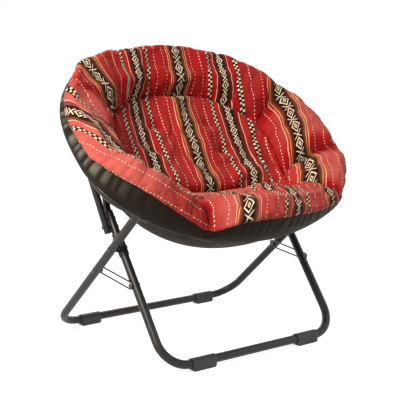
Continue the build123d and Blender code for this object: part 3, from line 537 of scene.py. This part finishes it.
def swell(piece, pressure, shrink, frames, cap):
    """Lets a sewn piece swell under its wadding's pressure, moving no point further than cap metres."""
    start = np.array([v.co for v in piece.data.vertices])
    cloth = piece.modifiers.new("wadding", "CLOTH")
    soft = cloth.settings
    soft.quality, soft.mass = 6, 0.25
    soft.tension_stiffness = soft.compression_stiffness = 12
    soft.shear_stiffness, soft.bending_stiffness = 6, 0.35
    soft.use_pressure, soft.uniform_pressure_force = True, pressure
    soft.shrink_min = shrink
    soft.vertex_group_mass = "sewn"
    soft.effector_weights.gravity = 0
    cloth.collision_settings.use_collision = False
    cloth.point_cache.frame_start, cloth.point_cache.frame_end = 1, frames
    scene = bpy.context.scene
    for number in range(1, frames + 1):
        scene.frame_set(number)
    shown = piece.evaluated_get(bpy.context.evaluated_depsgraph_get())
    end = np.array([v.co for v in shown.data.vertices])
    piece.modifiers.remove(cloth)
    move = end - start
    length = np.linalg.norm(move, axis=1)
    limit = np.minimum(1, cap / np.maximum(length, 1e-9))
    placed = start + move * limit[:, None]
    piece.data.vertices.foreach_set("co", placed.ravel())
    piece.data.update()
    scene.frame_set(1)


swell(cushion, pressure=3.0, shrink=-0.045, frames=20, cap=0.010)

# ------------------------------------------------------------------ striped woven cotton of the cushion
# Cotton woven with its stripes in the warp: red ground, black bands with cream diamonds, maroon, green
# and ochre lines, and dotted lines of cream. It is matt with a short nap, and each thread shows.
stripe_turn = 140.0  # millimetres from one band's middle to the next, where the pattern turns back
woven = material("woven_striped_cotton")
tree = woven.node_tree
chart = add(tree, "ShaderNodeUVMap", uv_map="fabric_cm")
scaled = add(tree, "ShaderNodeVectorMath", {0: chart, "Scale": 10.0}, operation="SCALE")
weft_noise = add(tree, "ShaderNodeTexNoise", {"Vector": scaled, "Scale": 0.09, "Detail": 3.0})
split = add(tree, "ShaderNodeSeparateXYZ", (scaled,)).node
wander = add(tree, "ShaderNodeMapRange", (weft_noise, 0.0, 1.0, -1.1, 1.1))
u_raw = add(tree, "ShaderNodeMath", (split.outputs[0], wander), operation="ADD")
w = split.outputs[1]
u = add(tree, "ShaderNodeMath", (u_raw, stripe_turn), operation="PINGPONG")
ramp_in = add(tree, "ShaderNodeMath", (u, stripe_turn), operation="DIVIDE")
ramp = add(tree, "ShaderNodeValToRGB", (ramp_in,)).node
# Where each stripe begins, in millimetres from the wide band's middle to the narrow one's, and its colour.
bands = (
    (0, "#1C120C"), (14.0, "#5A0A14"), (18.0, "#3B4A20"), (19.5, "#8A0F18"), (22.0, "#E0A050"),
    (23.6, "#3B4A20"), (25.0, "#B51420"), (28.0, "#EBC79A"), (29.6, "#A80D13"), (93.0, "#1C120C"),
    (104.0, "#A80D13"), (116.5, "#EBC79A"), (118.2, "#6E0A14"), (126.0, "#1C120C"),
)
ramp.color_ramp.interpolation = "CONSTANT"
for number, (start, colour) in enumerate(bands):
    stops = ramp.color_ramp.elements
    stop = stops[number] if number < 2 else stops.new(start / stripe_turn)
    stop.position, stop.color = start / stripe_turn, linear(colour)


def inside(value, low, high):
    """1 where value lies between low and high."""
    above = add(tree, "ShaderNodeMath", (value, low), operation="GREATER_THAN")
    below = add(tree, "ShaderNodeMath", (value, high), operation="LESS_THAN")
    return add(tree, "ShaderNodeMath", (above, below), operation="MULTIPLY")


def dotted(middle, half_width, period, share_on, shift=0.0):
    """A line of short floats of cream weft at one place across the stripes."""
    line = inside(u, middle - half_width, middle + half_width)
    moved = add(tree, "ShaderNodeMath", (w, shift), operation="ADD")
    turn_of = add(tree, "ShaderNodeMath", (moved, period), operation="FLOORED_MODULO")
    on = add(tree, "ShaderNodeMath", (turn_of, period * share_on), operation="LESS_THAN")
    return add(tree, "ShaderNodeMath", (line, on), operation="MULTIPLY")


def diamond_line(across_size, along_size, thickness, near, far):
    """The outline of a diamond with its middle where near and far are 0."""
    a = add(tree, "ShaderNodeMath", (near, across_size), operation="DIVIDE")
    b = add(tree, "ShaderNodeMath", (far, along_size), operation="DIVIDE")
    total = add(tree, "ShaderNodeMath", (a, b), operation="ADD")
    return inside(total, 1 - thickness, 1 + thickness)


def either(*masks):
    """1 where any of the masks is."""
    total = masks[0]
    for mask in masks[1:]:
        total = add(tree, "ShaderNodeMath", (total, mask), operation="MAXIMUM")
    return total


half_link = 23.0  # half the length of one diamond and cross of the wide band
along_link = add(tree, "ShaderNodeMath", (w, half_link), operation="PINGPONG")
from_cross = add(tree, "ShaderNodeMath", (half_link, along_link), operation="SUBTRACT")
in_band = inside(u, -1.0, 12.6)
outer_diamond = diamond_line(10.2, 15.0, 0.14, u, along_link)
inner_diamond = diamond_line(3.0, 4.6, 0.42, u, along_link)
cross_at = add(tree, "ShaderNodeMath", (from_cross, 1.25), operation="MULTIPLY")
cross_gap = add(tree, "ShaderNodeMath", (u, cross_at), operation="SUBTRACT")
cross_wide = add(tree, "ShaderNodeMath", (cross_gap,), operation="ABSOLUTE")
cross_line = add(tree, "ShaderNodeMath", (cross_wide, 1.7), operation="LESS_THAN")
cross_near = add(tree, "ShaderNodeMath", (from_cross, 9.0), operation="LESS_THAN")
crosses = add(tree, "ShaderNodeMath", (cross_line, cross_near), operation="MULTIPLY")
wide_motif = add(tree, "ShaderNodeMath", (either(outer_diamond, inner_diamond, crosses), in_band),
                 operation="MULTIPLY")

half_eye = 17.0  # half the length of one eye and bow of the narrow band
eye_across = add(tree, "ShaderNodeMath", (stripe_turn, u), operation="SUBTRACT")
eye_along = add(tree, "ShaderNodeMath", (w, half_eye), operation="PINGPONG")
eye_far = add(tree, "ShaderNodeMath", (half_eye, eye_along), operation="SUBTRACT")
in_eyes = inside(u, 128.5, stripe_turn + 1)
eyes = diamond_line(8.6, 9.6, 0.18, eye_across, eye_along)
pupils = diamond_line(1.3, 1.6, 1.0, eye_across, eye_along)
bow_gap = add(tree, "ShaderNodeMath", (eye_across, eye_far), operation="SUBTRACT")
bow_wide = add(tree, "ShaderNodeMath", (bow_gap,), operation="ABSOLUTE")
bow_line = add(tree, "ShaderNodeMath", (bow_wide, 1.5), operation="LESS_THAN")
bow_near = add(tree, "ShaderNodeMath", (eye_far, 7.0), operation="LESS_THAN")
bows = add(tree, "ShaderNodeMath", (bow_line, bow_near), operation="MULTIPLY")
narrow_motif = add(tree, "ShaderNodeMath", (either(eyes, pupils, bows), in_eyes), operation="MULTIPLY")

# Two dotted lines, and the two columns of a checker line.
cream_marks = either(
    dotted(44.0, 0.7, 8.4, 0.42),
    dotted(72.0, 0.95, 8.4, 0.45),
    dotted(96.0, 2.0, 11.6, 0.44),
    dotted(101.0, 2.0, 11.6, 0.44, 5.8),
    wide_motif,
    narrow_motif,
)
cloth_colour = add(tree, "ShaderNodeMix", {0: cream_marks, 6: ramp.outputs[0], 7: linear("#F3E3C0")}, 2,
                   data_type="RGBA")
# The painted light and shade attribute: above 0 a painted highlight, below 0 painted shade.
painted_light_value = add(tree, "ShaderNodeAttribute", output="Fac", attribute_name="painted_light_and_shade")
painted_highlight_share = add(tree, "ShaderNodeMapRange", (painted_light_value, 0.0, 1.0, 0.0, 0.40))
# Only the red threads take the painted highlight; the black ones keep their colour.
dyed = add(tree, "ShaderNodeSeparateColor", (cloth_colour,), "Red")
red_share = add(tree, "ShaderNodeMapRange", (dyed, 0.04, 0.36, 0.0, 1.0))
painted_highlight_red = add(tree, "ShaderNodeMath", (painted_highlight_share, red_share), operation="MULTIPLY")
# The painted highlight mixes the red towards a pale coral.
painted_highlight_colour = add(tree, "ShaderNodeMix", {0: painted_highlight_red, 6: cloth_colour, 7: linear("#F29A8A")}, 2,
                    data_type="RGBA")
thread_gap = 0.9  # millimetres; the real threads lie 0.45 mm apart and are drawn coarser, so that they show
threads_u = add(tree, "ShaderNodeMath", (split.outputs[0], 2 * math.pi / thread_gap), operation="MULTIPLY")
threads_w = add(tree, "ShaderNodeMath", (w, 2 * math.pi / thread_gap), operation="MULTIPLY")
rib_u = add(tree, "ShaderNodeMath", (threads_u,), operation="SINE")
rib_w = add(tree, "ShaderNodeMath", (threads_w,), operation="SINE")
weave = add(tree, "ShaderNodeMath", (rib_u, rib_w), operation="MULTIPLY")
fuzz = add(tree, "ShaderNodeTexNoise", {"Vector": scaled, "Scale": 1.3, "Detail": 4.0, "Roughness": 0.7})
fade = add(tree, "ShaderNodeTexNoise", {"Vector": scaled, "Scale": 0.012, "Detail": 3.0})
lift = add(tree, "ShaderNodeMapRange", (fuzz, 0.25, 0.75, 0.86, 1.12))
worn = add(tree, "ShaderNodeMapRange", (fade, 0.3, 0.7, 0.94, 1.06))
# Below 0 the attribute darkens the colour as painted shade.
painted_shade_factor = add(tree, "ShaderNodeMapRange", (painted_light_value, -1.0, 0.0, 0.35, 1.0))
faded = add(tree, "ShaderNodeMath", (lift, worn), operation="MULTIPLY")
tone_and_painted_shade = add(tree, "ShaderNodeMath", (faded, painted_shade_factor), operation="MULTIPLY")
shaded = add(tree, "ShaderNodeHueSaturation", {"Color": painted_highlight_colour, "Value": tone_and_painted_shade})
both = add(tree, "ShaderNodeMath", (weave, fuzz), operation="ADD")
dents = add(tree, "ShaderNodeBump", {"Strength": 0.35, "Distance": 0.0003, "Height": both})
cotton = add(tree, "ShaderNodeBsdfPrincipled", {
    "Base Color": shaded, "Roughness": 0.86, "IOR": 1.45, "Sheen Weight": 0.14, "Sheen Roughness": 0.5,
    "Sheen Tint": linear("#FFC4B0"), "Specular IOR Level": 0.12, "Normal": dents,
})
add(tree, "ShaderNodeOutputMaterial", (cotton,))
mesh.materials.append(woven)


def close_and_smooth(piece, thickness, levels=1):
    """Gives a sheet its thickness in metres and its rounds of subdivision, both applied."""
    if levels:
        smooth = piece.modifiers.new("smooth", "SUBSURF")
        smooth.levels = smooth.render_levels = levels
    wall = piece.modifiers.new("wall", "SOLIDIFY")
    wall.thickness, wall.offset = thickness, -1
    shown = piece.evaluated_get(bpy.context.evaluated_depsgraph_get())
    result = bpy.data.meshes.new_from_object(shown)
    piece.modifiers.clear()
    piece.data = result
    piece.data.name = piece.name
    piece.vertex_groups.clear()
    result.shade_smooth()


close_and_smooth(cushion, 0.004)
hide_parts("rear_rim_roll", "front_rim_roll", "back_cushion", "seat_cushion")
fold_start, fold_end = place(0, 0.03, 0), place(0, -0.03, 0)
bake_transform(cushion)

# --------------------------------------------------------------------- black cover: side band and pouch
# Black woven polyester with a satin sheen. The band is sewn to the striped top, wraps the hoop tube, and
# is puckered at that seam. The pouch below is sewn to the band and holds the wadding.
band_low_out = round_rim(
    (0, 17), (40, 20), (90, 22), (130, 24), (148, 27), (158, 26), (168, 21), (180, 14), (190, 11),
    (200, 11), (222, 14), (236, 16), (250, 18), (270, 17), (290, 16), (305, 17), (320, 22), (335, 18),
    softness=3,
)
band_low_up = round_rim(
    (0, -6), (45, -6), (90, -8), (130, -9), (150, -11), (162, -9), (172, -7), (180, -5), (190, -3),
    (200, -2), (212, -2), (224, -5), (236, -8), (250, -10), (262, -9), (280, -7), (292, -5), (304, -6),
    (314, -9), (324, -12), (340, -8), softness=3,
)
# Pleats between sharp creases, 13 to 34 mm apart and deepest at the left. Their ridges there get a painted
# grey highlight in the colour.
round_mm = np.cumsum(step_mm)
creases = np.cumsum(rng.uniform(13, 34, 120))
creases = creases[creases < round_mm[-1] - 8]
from_crease = np.abs(round_mm[:, None] - creases[None, :]).min(1)
pucker = (1 - np.exp(-from_crease / 6)) * 1.6 - 1.0
pleat_depth = round_rim(
    (0, 2), (60, 2), (140, 3), (160, 6), (205, 5), (222, 2.5), (243, 2), (300, 3), (330, 3),
)
# Where the pleat ridges get the painted highlight round the loop: most at the left.
painted_pleat_highlight_round = round_rim(
    (0, 0), (90, 0.1), (140, 0.4), (154, 1.0), (188, 0.9), (200, 0.3), (212, 0), (345, 0),
)
band_steps = 14
band_swell, seam_pinch = 7.0, 2.0
cover_rows, painted_pleat_highlight_rows = [], []
for step in range(band_steps + 1):
    t = step / band_steps
    outward = red_out + (band_low_out - red_out) * t + band_swell * math.sin(math.pi * t) ** 0.8
    outward += pucker * pleat_depth * (1 - t) ** 0.7 * math.sin(math.pi * min(1, t * 1.6 + 0.05)) ** 0.7 - 0.5
    if step == band_steps:  # the seam between the band and the pouch
        outward -= seam_pinch
    height = red_up + (band_low_up - red_up) * t - 0.8
    cover_rows.append((plan_x + out_x * outward / 1000, plan_v + out_v * outward / 1000, height / 1000))
    if step < band_steps:
        # The painted highlight lies on the pleat ridges.
        highlighted_ridges = np.clip(pucker * 2.2 + 0.5, 0, 1)
        painted_pleat_highlight_rows.append(highlighted_ridges * painted_pleat_highlight_round * math.sin(math.pi * min(1, t * 1.5 + 0.08)) ** 0.8)
# The pouch: ovals below the hoop, from the band's lower edge to its flat bottom. Each has its height,
# half width, reach to the front and to the back, and squareness.
pouch = (
    (-0.018, 0.352, 0.214, 0.340, 2.2), (-0.040, 0.318, 0.206, 0.312, 2.4),
    (-0.070, 0.290, 0.198, 0.280, 2.5), (-0.094, 0.264, 0.188, 0.238, 2.6),
    (-0.112, 0.232, 0.176, 0.176, 2.6), (-0.1235, 0.178, 0.156, 0.104, 2.5),
    (-0.1290, 0.120, 0.120, 0.056, 2.4), (-0.1300, 0.050, 0.065, 0.010, 2.2),
)
c, s = np.cos(np.radians(angle)), np.sin(np.radians(angle))
for height, half_width, front, rear, squareness in pouch:
    bend = 2 / np.where(s >= 0, squareness, squareness - 0.4)
    reach = np.where(s >= 0, rear, front)
    oval = half_width * np.sign(c) * np.abs(c) ** bend, reach * np.sign(s) * np.abs(s) ** bend
    cover_rows.append((*oval, np.full(loop_size, height)))
cover_rows = np.array(cover_rows)
# Four rows for each oval, on a smooth curve through them.
fine = list(cover_rows[:band_steps + 1])
for at in np.arange(band_steps + 0.25, len(cover_rows) - 0.99, 0.25):
    low = int(min(at, len(cover_rows) - 2))
    part = at - low
    p0, p1, p2, p3 = (cover_rows[min(row, len(cover_rows) - 1)] for row in range(low - 1, low + 3))
    fine.append(0.5 * (2 * p1 + (p2 - p0) * part + (2 * p0 - 5 * p1 + 4 * p2 - p3) * part ** 2
                       + (3 * p1 - p0 - 3 * p2 + p3) * part ** 3))
fine = np.array(fine)
cover_places = place(fine[:, 0], fine[:, 1], fine[:, 2]).reshape(-1, 3)
bottom = len(cover_places)
cover_places = np.vstack([cover_places, cover_places[-loop_size:].mean(0)[None, :]])
cover_faces = []
for j in range(len(fine)):
    last_row = j == len(fine) - 1
    for i in range(loop_size):
        one, other = j * loop_size + i, j * loop_size + (i + 1) % loop_size
        below = [bottom] if last_row else [other + loop_size, one + loop_size]
        cover_faces.append([one, other] + below)
cover_mesh = bpy.data.meshes.new("black_cover")
cover_mesh.from_pydata([tuple(p) for p in cover_places], [], cover_faces)
cover_mesh.shade_smooth()
painted_pleat_highlight_values = np.zeros(len(cover_places), np.float32)
painted_pleat_highlight_values[:band_steps * loop_size] = np.array(painted_pleat_highlight_rows).reshape(-1)
cover_mesh.attributes.new("painted_pleat_highlight", "FLOAT", "POINT").data.foreach_set("value", painted_pleat_highlight_values)
cover = put_in_scene("black_cover", cover_mesh)

satin = material("black_polyester_satin_weave")
tree = satin.node_tree
here = add(tree, "ShaderNodeTexCoord", output="Object")
folds = add(tree, "ShaderNodeTexNoise", {
    "Vector": here, "Scale": 1 / 0.030, "Detail": 4.0, "Roughness": 0.55, "Distortion": 0.6,
})
# The real threads are 0.35 mm apart and are drawn about 1.1 mm apart, so that they show.
threads = add(tree, "ShaderNodeTexWave", {
    "Vector": here, "Scale": 1 / 0.0035, "Distortion": 2.0, "Detail": 2.0,
})
tone = add(tree, "ShaderNodeMix", {0: folds, 6: linear("#100B07"), 7: linear("#2B2016")}, 2, data_type="RGBA")
# The painted grey highlight on the pleat ridges, mixed into the colour.
painted_pleat_highlight_value = add(tree, "ShaderNodeAttribute", output="Fac", attribute_name="painted_pleat_highlight")
painted_pleat_highlight_share = add(tree, "ShaderNodeMapRange", (painted_pleat_highlight_value, 0.0, 1.0, 0.0, 0.6))
tone = add(tree, "ShaderNodeMix", {0: painted_pleat_highlight_share, 6: tone, 7: linear("#86857A")}, 2, data_type="RGBA")
soft_dents = add(tree, "ShaderNodeBump", {"Strength": 0.55, "Distance": 0.004, "Height": folds})
dents = add(tree, "ShaderNodeBump", {
    "Strength": 0.2, "Distance": 0.0002, "Height": threads, "Normal": soft_dents,
})
rough = add(tree, "ShaderNodeMapRange", (folds, 0.3, 0.7, 0.42, 0.60))
satin_face = add(tree, "ShaderNodeBsdfPrincipled", {
    "Base Color": tone, "Roughness": rough, "IOR": 1.45, "Specular IOR Level": 0.09, "Normal": dents,
})
add(tree, "ShaderNodeOutputMaterial", (satin_face,))
cover_mesh.materials.append(satin)
side = cover_mesh.polygons[len(cover_mesh.polygons) // 2]
if (side.center - Vector((0, 0, 0.45))).dot(side.normal) < 0:
    cover_mesh.flip_normals()
close_and_smooth(cover, 0.0015, levels=0)
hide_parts("rear_cover", "front_cover")
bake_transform(cover)

# -------------------------------------------------------------------------------- piping at the red edge
# A thin cord in a fold of pale cotton, sewn into the seam between the striped top and the black band. It
# follows the top's red edge all the way round.
piping_data = bpy.data.curves.new("edge_piping", "CURVE")
piping_data.dimensions, piping_data.bevel_depth, piping_data.bevel_resolution = "3D", 0.0011, 3
line = piping_data.splines.new("NURBS")
line.points.add(loop_size - 1)
for number, point in enumerate(places[0]):
    line.points[number].co = (*point, 1)
line.use_cyclic_u, line.order_u = True, 3
piping_curve = put_in_scene("edge_piping_line", piping_data)
bpy.context.view_layer.update()
piping_mesh = bpy.data.meshes.new_from_object(piping_curve)
bpy.data.objects.remove(piping_curve)
piping = put_in_scene("edge_piping", piping_mesh)
pipe_cloth = material("piping_cotton_pale")
tree = pipe_cloth.node_tree
here = add(tree, "ShaderNodeTexCoord", output="Object")
stitch = add(tree, "ShaderNodeTexNoise", {"Vector": here, "Scale": 1 / 0.004, "Detail": 3.0})
tone = add(tree, "ShaderNodeMix", {0: stitch, 6: linear("#8E6E5C"), 7: linear("#D9B9A0")}, 2,
           data_type="RGBA")
pale_cotton = add(tree, "ShaderNodeBsdfPrincipled", {"Base Color": tone, "Roughness": 0.8})
add(tree, "ShaderNodeOutputMaterial", (pale_cotton,))
piping_mesh.materials.clear()
piping_mesh.materials.append(pipe_cloth)
piping_mesh.shade_smooth()
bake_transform(piping)

# ------------------------------------------------------------------------------- tabs at the front corners
# A short loop of black webbing is caught in the edge seam at each front corner, where the band's ends
# meet. It is the cover's own polyester.
tab_steps, tab_reach, tab_half_height = 10, 7.0, 3.2
tab_ends = (-0.006, -0.003, 0.003, 0.006)
for side, corner in (("right", right_corner), ("left", left_corner)):
    at = int(np.argmin(np.abs(angle - corner)))
    tab_points, tab_quads = [], []
    for step in range(tab_steps + 1):
        turn_round = math.pi * (step / tab_steps - 0.5) * 1.25
        outward = (red_out[at] + tab_reach * math.cos(turn_round)) / 1000
        height = (red_up[at] - 2.0 + tab_half_height * math.sin(turn_round)) / 1000
        for end in tab_ends:
            x = plan_x[at] + out_x[at] * outward - out_v[at] * end
            v = plan_v[at] + out_v[at] * outward + out_x[at] * end
            tab_points.append(tuple(place(x, v, height)))
            if step < tab_steps and end < tab_ends[-1]:
                low = len(tab_points) - 1
                tab_quads.append((low, low + 1, low + 5, low + 4))
    tab_mesh = bpy.data.meshes.new("corner_tab_" + side)
    tab_mesh.from_pydata(tab_points, [], tab_quads)
    tab_mesh.materials.append(satin)
    tab = put_in_scene("corner_tab_" + side, tab_mesh)
    close_and_smooth(tab, 0.0014)
    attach(tab, "seat_front")
